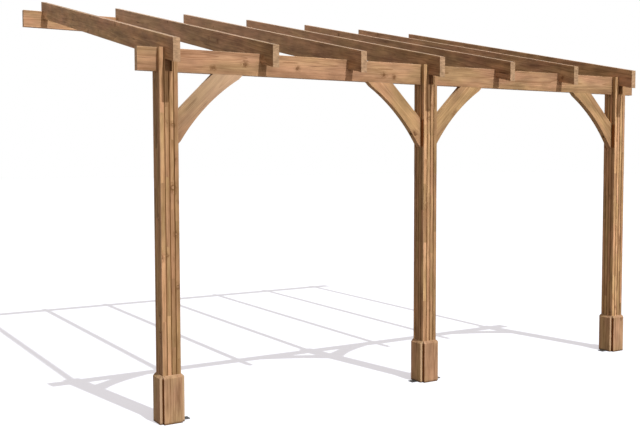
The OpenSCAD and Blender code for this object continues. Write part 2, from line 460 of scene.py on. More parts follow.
    def grain_colour(self, tree: Tree, own: Socket, radius: Socket, rings: Socket,
                     fibre: Socket) -> Socket:
        """Colour the rings and lay bands, streaks, patches, blotches and fibres over them.

        Args:
            tree: Node tree of the material.
            own: The board's shifted coordinates.
            radius: Distance from the pith.
            rings: How dark the growth ring is.
            fibre: Fibre lines.

        Returns:
            The colour.
        """
        ringed = add_node(tree, "Math", {0: rings, 1: 0.8}, operation="MULTIPLY")
        early, late = linear(self.earlywood), linear(self.latewood)
        colour = add_node(tree, "Mix", {0: ringed, UNDER: early, OVER: late}, MIXED, data_type="RGBA")
        turn = add_node(tree, "Math", {0: radius, 1: 1 / (self.band_mm * MM)}, operation="MULTIPLY")
        bands = add_node(tree, "TexNoise", {"W": turn, "Scale": 1.0, "Detail": 3.0}, noise_dimensions="1D")
        bands = add_node(tree, "MapRange", {0: bands, 1: 0.4, 2: 0.7, 4: 0.6})
        colour = add_node(tree, "Mix", {0: bands, UNDER: colour, OVER: late}, MIXED, data_type="RGBA")
        streaks = self.drawn_out(tree, own, self.streak_mm, 4.0, 0.6)
        streaks = add_node(tree, "MapRange", {0: streaks, 1: 0.46, 2: 0.72, 4: self.streak_share})
        colour = add_node(tree, "Mix", {0: streaks, UNDER: colour, OVER: linear(self.streak)}, MIXED,
                          data_type="RGBA")
        patch = self.drawn_out(tree, own, self.patch_mm, 2.0)
        patch = add_node(tree, "MapRange", {0: patch, 1: 0.38, 2: 0.62})
        tint = add_node(tree, "Mix", {0: patch, UNDER: linear(self.blush), OVER: linear(self.honey)}, MIXED,
                        data_type="RGBA")
        colour = add_node(tree, "Mix", {0: 1.0, UNDER: colour, OVER: tint}, MIXED,
                          data_type="RGBA", blend_type="MULTIPLY")
        blotch = self.drawn_out(tree, own, self.blotch_mm, 3.0)
        lines = add_node(tree, "MapRange", {0: fibre, 1: 0.3, 2: 0.7, 3: 0.86, 4: 1.12})
        depth = self.blotch_depth
        shade = add_node(tree, "MapRange", {0: blotch, 1: 0.3, 2: 0.7, 3: 1 - depth / 2, 4: 1 + depth / 2})
        shade = add_node(tree, "Math", {0: shade, 1: lines}, operation="MULTIPLY")
        return add_node(tree, "VectorMath", {0: colour, "Scale": shade}, operation="SCALE")

    def tone(self, tree: Tree, place: Socket, colour: Socket, board: Board) -> Socket:
        """Give the board its own tone, since each comes from another tree, and paint light on its far end."""
        per_metre = 1 / (self.cloud_mm * MM)
        cloud = add_node(tree, "TexNoise", {"Vector": place, "Scale": per_metre, "Detail": 2.0})
        level = self.level + self.level_spread * (board.chance(Draw.LEVEL) - 0.5)
        # Painted shade: the whole board is darker by half of the light painted on its far end.
        level *= 1 - board.fade / 2
        cloud = add_node(tree, "MapRange", {0: cloud, 1: 0.3, 2: 0.7, 3: level - 0.12, 4: level + 0.1})
        colour = add_node(tree, "VectorMath", {0: colour, "Scale": cloud}, operation="SCALE")
        # Painted light: a pale tone is laid over the wood, growing towards the board's far end.
        along = add_node(tree, "SeparateXYZ", {0: place})
        end = board.length / 2
        far_light_mask = add_node(tree, "MapRange", {0: along, 1: -end, 2: end, 4: board.fade})
        return add_node(tree, "Mix", {0: far_light_mask, UNDER: colour, OVER: linear(self.far_light_tone)}, MIXED,
                        data_type="RGBA", blend_type="SCREEN")

    def knot_colour(self, tree: Tree, own: Socket, colour: Socket, near: Socket) -> Socket:
        """Lay the knots' shaded surroundings, dark rims and mottled hearts over the wood."""
        resin = add_node(tree, "TexNoise", {"Vector": own, "Scale": 1 / (self.resin_mm * MM), "Detail": 3.0})
        resin = add_node(tree, "MapRange", {0: resin, 1: 0.36, 2: 0.62, 3: 0.1, 4: 1.0})
        halo = add_node(tree, "MapRange", {0: near, 1: 4.2, 2: 0.9, 4: 0.75}, interpolation_type="SMOOTHSTEP")
        halo = add_node(tree, "Math", {0: halo, 1: resin}, operation="MULTIPLY")
        colour = add_node(tree, "Mix", {0: halo, UNDER: colour, OVER: linear(self.streak)}, MIXED,
                          data_type="RGBA")
        rim = add_node(tree, "MapRange", {0: near, 1: 1.5, 2: 0.9, 4: 0.6}, interpolation_type="SMOOTHSTEP")
        colour = add_node(tree, "Mix", {0: rim, UNDER: colour, OVER: linear(self.knot_rim)}, MIXED,
                          data_type="RGBA")
        per_metre = 1 / (self.mottle_mm * MM)
        mottle = add_node(tree, "TexNoise", {"Vector": own, "Scale": per_metre, "Detail": 2.0})
        dark, pale = linear(self.knot_rim), linear(self.earlywood)
        inner = add_node(tree, "Mix", {0: mottle, UNDER: dark, OVER: pale}, MIXED, data_type="RGBA")
        inner = add_node(tree, "Mix", {0: 0.6, UNDER: inner, OVER: linear(self.knot)}, MIXED,
                         data_type="RGBA")
        heart = add_node(tree, "MapRange", {0: near, 1: 1.0, 2: 0.5, 4: 0.7}, interpolation_type="SMOOTHSTEP")
        return add_node(tree, "Mix", {0: heart, UNDER: colour, OVER: inner}, MIXED, data_type="RGBA")

    def wear(self, tree: Tree, place: Socket, colour: Socket, board: Board) -> Socket:
        """Rub the board's long edges pale."""
        rough = add_node(tree, "TexNoise", {"Vector": place, "Scale": 1 / (self.rub_mm * MM), "Detail": 3.0})
        worn = add_node(tree, "MapRange", {0: rough, 1: 0.35, 2: 0.65, 4: 0.6})
        axes = add_node(tree, "SeparateXYZ", {0: place})
        for axis, size in (("Y", board.width), ("Z", board.thickness)):
            side = add_node(tree, "Math", {0: axes.node.outputs[axis]}, operation="ABSOLUTE")
            close = add_node(tree, "MapRange", {0: side, 1: size / 2 - self.edge_mm * MM,
                                                2: size / 2 - 0.5 * MM})
            worn = add_node(tree, "Math", {0: worn, 1: close}, operation="MULTIPLY")
        return add_node(tree, "Mix", {0: worn, UNDER: colour, OVER: linear(self.worn)}, MIXED,
                        data_type="RGBA")

    def weather(self, tree: Tree, colour: Socket) -> Socket:
        """Turn faces that look up a little grey, as rain and sun do."""
        normal = add_node(tree, "TexCoord", out="Normal")
        up = add_node(tree, "SeparateXYZ", {0: normal}, "Z")
        grey = add_node(tree, "MapRange", {0: up, 1: 0.85, 2: 0.95, 4: self.weathered_share})
        return add_node(tree, "Mix", {0: grey, UNDER: colour, OVER: linear(self.weathered)}, MIXED,
                        data_type="RGBA")

    def end_grain(self, tree: Tree, colour: Socket, ends: Socket) -> Socket:
        """Make the sawn ends paler and duller than the planed sides, with saw marks across them."""
        coords = add_node(tree, "TexCoord", out="Object")
        marks = add_node(tree, "VectorMath", {0: coords, 1: (1.0, 1.0, 2.5)}, operation="MULTIPLY")
        marks = add_node(tree, "TexNoise", {"Vector": marks, "Scale": 1 / (self.saw_mm * MM), "Detail": 3.0})
        marks = add_node(tree, "MapRange", {0: marks, 1: 0.35, 2: 0.65, 3: 0.68, 4: 1.24})
        sawn = add_node(tree, "VectorMath", {0: linear(self.sawn)[:3], "Scale": marks}, operation="SCALE")
        cover = add_node(tree, "Math", {0: ends, 1: 0.7}, operation="MULTIPLY")
        return add_node(tree, "Mix", {0: cover, UNDER: colour, OVER: sawn}, MIXED, data_type="RGBA")

    def surface(self, tree: Tree, colour: Socket, rings: Socket, fibre: Socket,
                cracks: Socket) -> None:
        """Close the material with its roughness and relief.

        Args:
            tree: Node tree of the material.
            colour: Finished colour.
            rings: How dark the growth ring is; the hard dark part stands proud.
            fibre: Fibre lines.
            cracks: Mask of the drying cracks.
        """
        height = add_node(tree, "Math", {0: rings, 1: 0.6, 2: fibre}, operation="MULTIPLY_ADD")
        height = add_node(tree, "Math", {0: cracks, 1: -2.0, 2: height}, operation="MULTIPLY_ADD")
        relief = add_node(tree, "Bump", {"Strength": 0.6, "Distance": self.relief_mm * MM, "Height": height})
        gloss = add_node(tree, "Math", {0: rings, 1: -0.25, 2: fibre}, operation="MULTIPLY_ADD")
        rough = add_node(tree, "MapRange", {0: gloss, 1: 0.1, 2: 0.7, 3: self.roughness - 0.12,
                                            4: self.roughness + 0.1})
        shader = add_node(tree, "BsdfPrincipled", {"Base Color": colour, "Roughness": rough, "Normal": relief,
                                                   "Specular IOR Level": 0.05})
        add_node(tree, "OutputMaterial", {0: shader})


@dataclass(frozen=True)
class Staves(Softwood):
    """Pine staves glued side by side: each length of a stave comes from another board and differs in tone.

    Attributes:
        groove: Colour of the painted shade in the grooves, with some oil and dust.
        groove_mm: Depth at which a groove is fully dark.
        slant: How much paler the leftmost and darker the rightmost staves of the front and back are than the
            middle, as painted light and shade; the sides are painted darker by half of it.
        stave_mm: Width of a stave, from groove to groove.
        stave_length_mm: Length from one finger joint to the next.
        brace_shade: Colour of the painted shade on a post's sides beside a brace's foot.
        brace_shade_mm: Heights from the post's middle between which that painted shade lies.
        brace_shade_sides: Sides that have it, -1 for the left and 1 for the right.
        skin_mm: Distances from the post's middle over which the painted shade on a side begins.
    """

    knot: str = "#d2ab84"
    groove: str = "#7a562c"
    groove_mm: float = 4.0
    slant: float = 0.14
    stave_mm: float = 30.0
    stave_length_mm: float = 430.0
    brace_shade: str = "#80450f"
    brace_shade_mm: tuple[float, float] = (0.0, 0.0)
    brace_shade_sides: tuple[int, ...] = ()
    skin_mm: tuple[float, float] = (50.0, 53.0)

    def own_place(self, tree: Tree, place: Socket, board: Board) -> Socket:
        """Return the stave's own coordinates, which start anew at each joint."""
        pick = self.pick(tree, place, board)
        return add_node(tree, "VectorMath", {0: pick, 1: (9.0, 9.0, 9.0), 2: place}, operation="MULTIPLY_ADD")

    def off_middle(self, tree: Tree, place: Socket) -> tuple[Socket, Socket]:
        """Return how far each point is from the post's two middle planes."""
        axes = add_node(tree, "SeparateXYZ", {0: place}).node.outputs
        y = add_node(tree, "Math", {0: axes["Y"]}, operation="ABSOLUTE")
        return y, add_node(tree, "Math", {0: axes["Z"]}, operation="ABSOLUTE")

    def pick(self, tree: Tree, place: Socket, board: Board) -> Socket:
        """Return a random vector for each length of each stave."""
        per_metre = 1000 / self.stave_mm
        stave = add_node(tree, "VectorMath", {0: place, 1: (0.0, per_metre, per_metre)}, operation="MULTIPLY")
        stave = add_node(tree, "VectorMath", {0: stave}, operation="FLOOR")
        stave = add_node(tree, "VectorMath", {0: stave, 1: board.seed()}, operation="ADD")
        start = add_node(tree, "TexWhiteNoise", {"Vector": stave}, "Value")
        along = add_node(tree, "SeparateXYZ", {0: place})
        joint = add_node(tree, "Math", {0: along, 1: 1000 / self.stave_length_mm, 2: start},
                         operation="MULTIPLY_ADD")
        joint = add_node(tree, "Math", {0: joint}, operation="FLOOR")
        joint = add_node(tree, "CombineXYZ", {0: joint})
        stave = add_node(tree, "VectorMath", {0: stave, 1: joint}, operation="ADD")
        return add_node(tree, "TexWhiteNoise", {"Vector": stave}, "Color")

    def tone(self, tree: Tree, place: Socket, colour: Socket, board: Board) -> Socket:
        """Give each length of a stave its own tone, and paint light and shade: the front and back grow paler
        to the left and darker to the right, and the sides are darker.
        """
        pick = add_node(tree, "SeparateColor", {0: self.pick(tree, place, board)})
        level = add_node(tree, "MapRange", {0: pick, 3: self.level - 0.12, 4: self.level + 0.12})
        y, z = self.off_middle(tree, place)
        across = add_node(tree, "SeparateXYZ", {0: place}).node.outputs["Y"]
        # Painted light and shade: paler to the left and darker to the right on the front and back, and darker
        # on the sides.
        outermost = 1.5 * self.stave_mm * MM
        slant = add_node(tree, "MapRange", {0: across, 1: -outermost, 2: outermost, 3: self.slant,
                                            4: -self.slant})
        ahead = add_node(tree, "Math", {0: z, 1: y}, operation="GREATER_THAN")
        slant = add_node(tree, "Mix", {0: ahead, 2: -self.slant / 2, 3: slant})
        level = add_node(tree, "Math", {0: level, 1: slant}, operation="ADD")
        return add_node(tree, "VectorMath", {0: colour, "Scale": level}, operation="SCALE")

    def wear(self, tree: Tree, place: Socket, colour: Socket, board: Board) -> Socket:
        """Rub the corners pale, and darken the grooves with painted shade and some oil and dust."""
        colour = super().wear(tree, place, colour, board)
        y, z = self.off_middle(tree, place)
        # Painted shade, with some oil and dust: the grooves darken in their first few millimetres, but not
        # the deeper slots.
        outer = add_node(tree, "Math", {0: y, 1: z}, operation="MAXIMUM")
        face = board.width / 2
        deep = add_node(tree, "MapRange", {0: outer, 1: face - 0.8 * MM, 2: face - self.groove_mm * MM,
                                           4: 0.6})
        shallow = add_node(tree, "MapRange", {0: outer, 1: face - 10 * MM, 2: face - 7 * MM})
        groove_dust_and_shade = add_node(tree, "Math", {0: deep, 1: shallow}, operation="MULTIPLY")
        colour = add_node(tree, "Mix", {0: groove_dust_and_shade, UNDER: colour, OVER: linear(self.groove)}, MIXED,
                          data_type="RGBA")
        return self.paint_shade_beside_braces(tree, place, colour)

    def paint_shade_beside_braces(self, tree: Tree, place: Socket, colour: Socket) -> Socket:
        """Paint shade on the sides beside the braces' feet."""
        axes = add_node(tree, "SeparateXYZ", {0: place}).node.outputs
        y, z = self.off_middle(tree, place)
        low, high = (height * MM for height in self.brace_shade_mm)
        above = add_node(tree, "MapRange", {0: axes["X"], 1: low - 4 * MM, 2: low + 12 * MM, 4: 0.75})
        below = add_node(tree, "MapRange", {0: axes["X"], 1: high + 4 * MM, 2: high - 12 * MM})
        painted_shade = add_node(tree, "Math", {0: above, 1: below}, operation="MULTIPLY")
        beside = add_node(tree, "Math", {0: y, 1: z}, operation="GREATER_THAN")
        painted_shade = add_node(tree, "Math", {0: painted_shade, 1: beside}, operation="MULTIPLY")
        inner, outer = (distance * MM for distance in self.skin_mm)
        # Painted shade: a dark band on each side that a brace stands against.
        for side in self.brace_shade_sides:
            face = add_node(tree, "MapRange", {0: axes["Y"], 1: side * inner, 2: side * outer})
            face = add_node(tree, "Math", {0: painted_shade, 1: face}, operation="MULTIPLY")
            colour = add_node(tree, "Mix", {0: face, UNDER: colour, OVER: linear(self.brace_shade)}, MIXED,
                              data_type="RGBA")
        return colour


@dataclass(frozen=True)
class Skirting(Softwood):
    """Pine boards that stand on the ground, with painted shade along the feet, on the sawn bevels and, with
    some dirt, in the inner corners.

    Attributes:
        painted_shade: Colour of the painted shade along the foot, where the boards meet the ground.
        foot_shade_mm: Height above the ground that the painted shade reaches.
        corner_grime_and_shade: Colour of the dirt and painted shade between two boards.
        grime_and_shade_mm: How far that dirt and painted shade reach out from the post.
        bevel_mm: Height of the sawn bevel at the top.
        bevel_shade_level: Brightness of that bevel, which is painted darker as painted shade.
    """

    earlywood: str = "#c7a98b"
    latewood: str = "#9b7d60"
    painted_shade: str = "#3d2817"
    foot_shade_mm: float = 16.0
    corner_grime_and_shade: str = "#6a3a0e"
    grime_and_shade_mm: float = 7.0
    bevel_mm: float = 16.0
    bevel_shade_level: float = 0.84

    def wear(self, tree: Tree, place: Socket, colour: Socket, board: Board) -> Socket:
        """Rub the edges pale, and paint shade on the bevel, along the foot and, with some dirt, in the inner
        corners.
        """
        colour = super().wear(tree, place, colour, board)
        axes = add_node(tree, "SeparateXYZ", {0: place}).node.outputs
        height = axes["X"]
        top = board.length / 2 - self.bevel_mm * MM
        # Painted shade: the bevel at the top, which faces the sun, is painted darker.
        bevel = add_node(tree, "MapRange", {0: height, 1: top - 0.5 * MM, 2: top + 0.5 * MM, 3: 1.0,
                                            4: self.bevel_shade_level})
        colour = add_node(tree, "VectorMath", {0: colour, "Scale": bevel}, operation="SCALE")
        side = add_node(tree, "Math", {0: axes["Y"]}, operation="ABSOLUTE")
        face = board.width / 2
        edge = add_node(tree, "MapRange", {0: side, 1: face - 1.5 * MM, 2: face - 0.5 * MM})
        rubbed = add_node(tree, "Math", {0: edge, 1: 0.5}, operation="MULTIPLY")
        colour = add_node(tree, "Mix", {0: rubbed, UNDER: colour, OVER: linear(self.worn)}, MIXED,
                          data_type="RGBA")
        # Dirt and painted shade on the narrow edges next to the post, in the inner corner.
        reach = self.grime_and_shade_mm * MM - board.thickness / 2
        inner = add_node(tree, "MapRange", {0: axes["Z"], 1: reach, 2: reach - 3 * MM, 4: 0.9})
        below = add_node(tree, "MapRange", {0: height, 1: top + 2 * MM, 2: top - 6 * MM})
        grime_and_shade = add_node(tree, "Math", {0: edge, 1: inner}, operation="MULTIPLY")
        grime_and_shade = add_node(tree, "Math", {0: grime_and_shade, 1: below}, operation="MULTIPLY")
        colour = add_node(tree, "Mix", {0: grime_and_shade, UNDER: colour, OVER: linear(self.corner_grime_and_shade)}, MIXED,
                          data_type="RGBA")
        # Painted shade: the boards grow dark towards the ground, along a ragged line.
        ragged = add_node(tree, "TexNoise", {"Vector": place, "Scale": 1 / (9 * MM), "Detail": 2.0})
        height = add_node(tree, "Math", {0: ragged, 1: 8 * MM, 2: height}, operation="MULTIPLY_ADD")
        foot = 4 * MM - board.length / 2
        painted_shade = add_node(tree, "MapRange", {0: height, 1: foot + self.foot_shade_mm * MM, 2: foot, 4: 0.9})
        return add_node(tree, "Mix", {0: painted_shade, UNDER: colour, OVER: linear(self.painted_shade)}, MIXED,
                        data_type="RGBA")


@dataclass(frozen=True)
class GalvanisedSteel:
    """Hot-dipped steel gone dull: grey zinc spangle with soft, broken gloss.

    Attributes:
        name: Name of the finish.
        zinc: Colour of the dull zinc.
        oxide: Colour of the darker oxide.
        spangle_mm: Size of the zinc crystals.
        cloud_mm: Size of the cloudy oxide.
        roughness: Usual roughness.
    """

    name: str
    zinc: str = "#6b6c6c"
    oxide: str = "#3f3e3b"
    spangle_mm: float = 9.0
    cloud_mm: float = 40.0
    roughness: float = 0.48

    def material(self) -> Material:
        """Build the finish and return its material."""
        material, tree = new_material(self.name)
        place = add_node(tree, "TexCoord", out="Object")
        crystals, clouds = (1 / (size * MM) for size in (self.spangle_mm, self.cloud_mm))
        spangle = add_node(tree, "TexVoronoi", {"Vector": place, "Scale": crystals}, "Color")
        spangle = add_node(tree, "SeparateColor", {0: spangle})
        cloud = add_node(tree, "TexNoise", {"Vector": place, "Scale": clouds, "Detail": 4.0})
        dull = add_node(tree, "Math", {0: spangle, 1: 0.35, 2: cloud}, operation="MULTIPLY_ADD")
        dull = add_node(tree, "MapRange", {0: dull, 1: 0.4, 2: 0.9})
        colour = add_node(tree, "Mix", {0: dull, UNDER: linear(self.zinc), OVER: linear(self.oxide)}, MIXED,
                          data_type="RGBA")
        rough = add_node(tree, "MapRange", {0: dull, 3: self.roughness - 0.1, 4: self.roughness + 0.2})
        shader = add_node(tree, "BsdfPrincipled", {"Base Color": colour, "Roughness": rough,
                                                   "Metallic": 0.85})
        add_node(tree, "OutputMaterial", {0: shader})
        return material


def dress(node: str, material: Material) -> None:
    """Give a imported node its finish.

    Args:
        node: Name of the node.
        material: Its finish.
    """
    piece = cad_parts[node]
    piece.data.materials.clear()
    piece.data.materials.append(material)
    LOG.info("%s wears %s", node, material.name)


def board_of(node: str, grain: Grain, number: int, knots: tuple[Knot, ...] = ()) -> Board:
    """Read a straight board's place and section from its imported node.

    Args:
        node: Name of the node.
        grain: Directions of its grain and width.
        number: The board's number.
        knots: Knots whose places are known.

    Returns:
        The board.
    """
    low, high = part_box(node)
    size = high - low
    along, across = (Vector(v).normalized() for v in grain.value)
    through = along.cross(across)
    length, width, thickness = (abs(size.dot(way)) for way in (along, across, through))
    return Board((low + high) / 2, along, across, length, width, thickness, number, knots)


@dataclass
class PostLine:
    """The three posts, their skirt boards and their foot angles.

    Attributes:
        staves: Finish of the posts.
        skirting: Finish of the skirt boards.
        steel: Finish of the foot angles.
        posts: Names of the posts' nodes.
        sides: Sides of a post that have a skirt board, and the way each board faces.
        angles: Names of the foot angles' nodes.
        front_back_grime_and_shade_mm: Reach of the dirt and painted shade on the edges of the front and back
            boards.
        levels: Brightness of the left, the middle and the right post.
        numbers: Board numbers of the left, the middle and the right post.
        skirt_numbers: Board numbers of their skirts, in the order of the sides.
        braced: Sides of the left, the middle and the right post that a brace stands against.
        brace_contact_mm: Height of a brace's foot on its post.
        knots: Knots in the front of the left, the middle and the right post.
    """

    staves: Staves
    skirting: Skirting
    steel: Material
    posts: tuple[str, ...] = ("left_post", "middle_post", "right_post")
    sides: tuple[tuple[str, Grain], ...] = (
        ("front", Grain.UPRIGHT_FACING_FRONT), ("back", Grain.UPRIGHT_FACING_BACK),
        ("left", Grain.UPRIGHT_FACING_LEFT), ("right", Grain.UPRIGHT_FACING_RIGHT))
    angles: tuple[str, ...] = ("left_post_foot_angle", "middle_post_left_foot_angle",
                               "middle_post_right_foot_angle", "right_post_foot_angle")
    front_back_grime_and_shade_mm: float = 30.0
    levels: tuple[float, ...] = (1.04, 1.05, 1.18)
    numbers: tuple[int, ...] = (44, 100, 5)
    skirt_numbers: tuple[tuple[int, ...], ...] = ((90, 14, 15, 16), (17, 18, 30, 20), (43, 22, 34, 24))
    braced: tuple[tuple[int, ...], ...] = ((1,), (-1, 1), (-1,))
    brace_contact_mm: float = 205.0
    knots: tuple[tuple[Knot, ...], ...] = (
        (Knot(694, 23, 6), Knot(307, 21, 12), Knot(19, 36, 7)), (Knot(776, -17, 7), Knot(828, -17, 5)), ())

    def build(self) -> None:
        """Dress posts, skirts and foot angles."""
        for place, post in enumerate(self.posts):
            board = board_of(post, Grain.UPRIGHT_FACING_BACK, self.numbers[place], self.knots[place])
            low = (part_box("left_brace")[0].z - board.middle.z) / MM
            staves = replace(self.staves, level=self.levels[place], brace_shade_sides=self.braced[place],
                             brace_shade_mm=(low, low + self.brace_contact_mm))
            dress(post, staves.material(f"{staves.name}_{post}", board))
            for number, (side, grain) in zip(self.skirt_numbers[place], self.sides):
                self.dress_skirt(f"{post}_{side}_skirt", grain, number)
        for angle in self.angles:
            dress(angle, self.steel)

    def dress_skirt(self, node: str, grain: Grain, number: int) -> None:
        """Dress one skirt board.

        Args:
            node: Name of the board's node.
            grain: The way that it faces.
            number: The board's number.
        """
        skirting = self.skirting
        if grain in (Grain.UPRIGHT_FACING_FRONT, Grain.UPRIGHT_FACING_BACK):
            skirting = replace(skirting, grime_and_shade_mm=self.front_back_grime_and_shade_mm)
        dress(node, skirting.material(f"{skirting.name}_{node}", board_of(node, grain, number)))


@dataclass
class Roof:
    """The front beam, the wall plate and the rafters between them.

    Attributes:
        timber: Finish of the beam and the plate.
        rafter_timber: Finish of the rafters.
        beam_number: Board number of the front beam.
        plate_number: Board number of the wall plate.
        plate_level: Brightness of the wall plate.
        rafter_numbers: Board numbers of the rafters, from the left.
        rafter_far_lights: How much light is painted on each of them towards the wall.
        rafter_depth: Depth of a rafter, square to its slope.
        pitch: Slope of the rafters, in degrees.
        knots: Knots in the front beam.
    """

    timber: Softwood
    rafter_timber: Softwood
    beam_number: int = 78
    plate_number: int = 56
    plate_level: float = 1.16
    rafter_numbers: tuple[int, ...] = (72, 130, 76, 89, 111, 112, 69)
    rafter_far_lights: tuple[float, ...] = (0.05, 0.35, 0.4, 0.32, 0.3, 0.2, 0.1)
    rafter_depth: float = 0.141
    pitch: float = 11.7
    knots: tuple[Knot, ...] = (Knot(-1691, -36, 7), Knot(-1468, 1, 9), Knot(-1081, -8, 7), Knot(-385, -18, 8),
                               Knot(-299, -28, 7))

    def build(self) -> None:
        """Dress beam, plate and rafters."""
        plate_timber = replace(self.timber, level=self.plate_level)
        for node, timber, number, knots in (("front_beam", self.timber, self.beam_number, self.knots),
                                            ("wall_plate", plate_timber, self.plate_number, ())):
            board = board_of(node, Grain.ALONG_WALL, number, knots)
            dress(node, timber.material(f"{timber.name}_{node}", board))
        for place, (number, fade) in enumerate(zip(self.rafter_numbers, self.rafter_far_lights), start=1):
            self.dress_rafter(f"rafter_{place}", number, fade)

    def dress_rafter(self, node: str, number: int, fade: float) -> None:
        """Dress one rafter along its slope.

        Args:
            node: Name of the rafter's node.
            number: The board's number.
            fade: How much light is painted on it towards the wall.
        """
        low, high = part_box(node)
        slope = math.radians(self.pitch)
        along = Vector((0, math.cos(slope), math.sin(slope)))
        across = Vector((0, -math.sin(slope), math.cos(slope)))
        length = (high.y - low.y) / math.cos(slope)
        board = Board((low + high) / 2, along, across, length, self.rafter_depth, high.x - low.x, number,
                      fade=fade)
        dress(node, self.rafter_timber.material(f"{self.rafter_timber.name}_{node}", board))


@dataclass
class Braces:
    """The four curved braces and the screws in their pockets.

    Attributes:
        timber: Finish of the braces.
        steel: Finish of the screws.
        rising: Names of the braces' nodes from the left, and the way that each one rises.
        board_width: Width of the board that a brace is cut from.
        pocket_up: Distance of a screw's axis from the brace's tip.
        pocket_floor: Distance of a pocket's floor from the post or the beam.
        washer_radius: Radius of the washer under a screw's head.
        washer_thickness: Thickness of that washer.
        head_radius: Radius of the head's six corners.
        head_height: Height of the head.
        washer_sides: Number of straight sides that the round washer is drawn with.
        head_sides: Number of the head's sides.
        rounding: Share of its height by which an upper rim is rounded.
        numbers: Board numbers of the braces, from the left.
        far_lights: How much light is painted on each of them towards its upper end.
        knots: Knots in each of them.
    """

    timber: Softwood
    steel: Material
    rising: tuple[tuple[str, Grain], ...] = (
        ("left_brace", Grain.BRACE_RISING_RIGHT), ("middle_left_brace", Grain.BRACE_RISING_LEFT),
        ("middle_right_brace", Grain.BRACE_RISING_RIGHT), ("right_brace", Grain.BRACE_RISING_LEFT))
    board_width: float = 0.145
    pocket_up: float = 0.1
    pocket_floor: float = 0.0524
    washer_radius: float = 0.009
    washer_thickness: float = 0.0018
    head_radius: float = 0.006
    head_height: float = 0.005
    washer_sides: int = 32
    head_sides: int = 6
    rounding: float = 0.2
    numbers: tuple[int, ...] = (105, 160, 95, 115)
    far_lights: tuple[float, ...] = (0.42, 0.0, 0.0, 0.0)
    knots: tuple[tuple[Knot, ...], ...] = ((), (Knot(-217, -41, 10),), (), ())

    def build(self) -> None:
        """Dress the braces and put in their screws."""
        for place, (node, grain) in enumerate(self.rising):
            self.dress_brace(node, grain, place)
            self.drive_screws(node, grain)

    def dress_brace(self, node: str, grain: Grain, place: int) -> None:
        """Dress one brace with its grain along the slant.

        Args:
            node: Name of the brace's node.
            grain: Direction of the slant.
            place: Its place from the left, from 0.
        """
        low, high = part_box(node)
        along, across = (Vector(v).normalized() for v in grain.value)
        middle = (low + high) / 2 + across * self.board_width / 2
        length = (high.z - low.z) * math.sqrt(2)
        board = Board(middle, along, across, length, self.board_width, high.y - low.y, self.numbers[place],
                      self.knots[place], self.far_lights[place])
        dress(node, self.timber.material(f"{self.timber.name}_{node}", board))

    def drive_screws(self, node: str, grain: Grain) -> None:
        """Put a screw into each of a brace's two pockets.

        Args:
            node: Name of the brace's node.
            grain: Direction of the slant.
        """
        low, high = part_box(node)
        y = (low.y + high.y) / 2
        out = 1 if grain is Grain.BRACE_RISING_RIGHT else -1
        post_x, tip_x = (low.x, high.x) if out > 0 else (high.x, low.x)
        to_post = Vector((post_x + out * self.pocket_floor, y, low.z + self.pocket_up))
        to_beam = Vector((tip_x - out * self.pocket_up, y, high.z - self.pocket_floor))
        self.make_screw(f"{node}_post_screw", to_post, Vector((out, 0, 0)))
        self.make_screw(f"{node}_beam_screw", to_beam, Vector((0, 0, -1)))

    def make_screw(self, name: str, seat: Vector, axis: Vector) -> None:
        """Make a hexagon head on a washer, the part of a coach screw that shows.

        Args:
            name: Name of the piece.
            seat: Point on the pocket's floor.
            axis: Direction in which the head stands off the floor.
        """
        shape = bmesh.new()
        stack = ((self.washer_sides, self.washer_radius, self.washer_thickness, 0.0),
                 (self.head_sides, self.head_radius, self.head_height, self.washer_thickness))
        for sides, radius, height, base in stack:
            ring = bmesh.ops.create_cone(shape, cap_ends=True, segments=sides, radius1=radius, radius2=radius,
                                         depth=height, matrix=Matrix.Translation((0, 0, base + height / 2)))
            top = max(vert.co.z for vert in ring["verts"])
            upper = [vert for vert in ring["verts"] if vert.co.z > top - height / 2]
            rim = [edge for vert in upper for edge in vert.link_edges if edge.other_vert(vert) in upper]
            bmesh.ops.bevel(shape, geom=list(dict.fromkeys(rim)), offset=height * self.rounding, segments=2,
                            profile=0.5, affect="EDGES", material=-1)
        turn = Vector((0, 0, 1)).rotation_difference(axis).to_matrix().to_4x4()
        bmesh.ops.transform(shape, matrix=Matrix.Translation(seat) @ turn, verts=shape.verts)
        bmesh.ops.recalc_face_normals(shape, faces=shape.faces)
        mesh = bpy.data.meshes.new(name)
        shape.to_mesh(mesh)
        shape.free()
        mesh.materials.append(self.steel)
        screw = bpy.data.objects.new(name, mesh)
        bpy.context.scene.collection.objects.link(screw)
        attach(screw, BODY)
        LOG.info("%s sits in its pocket", name)


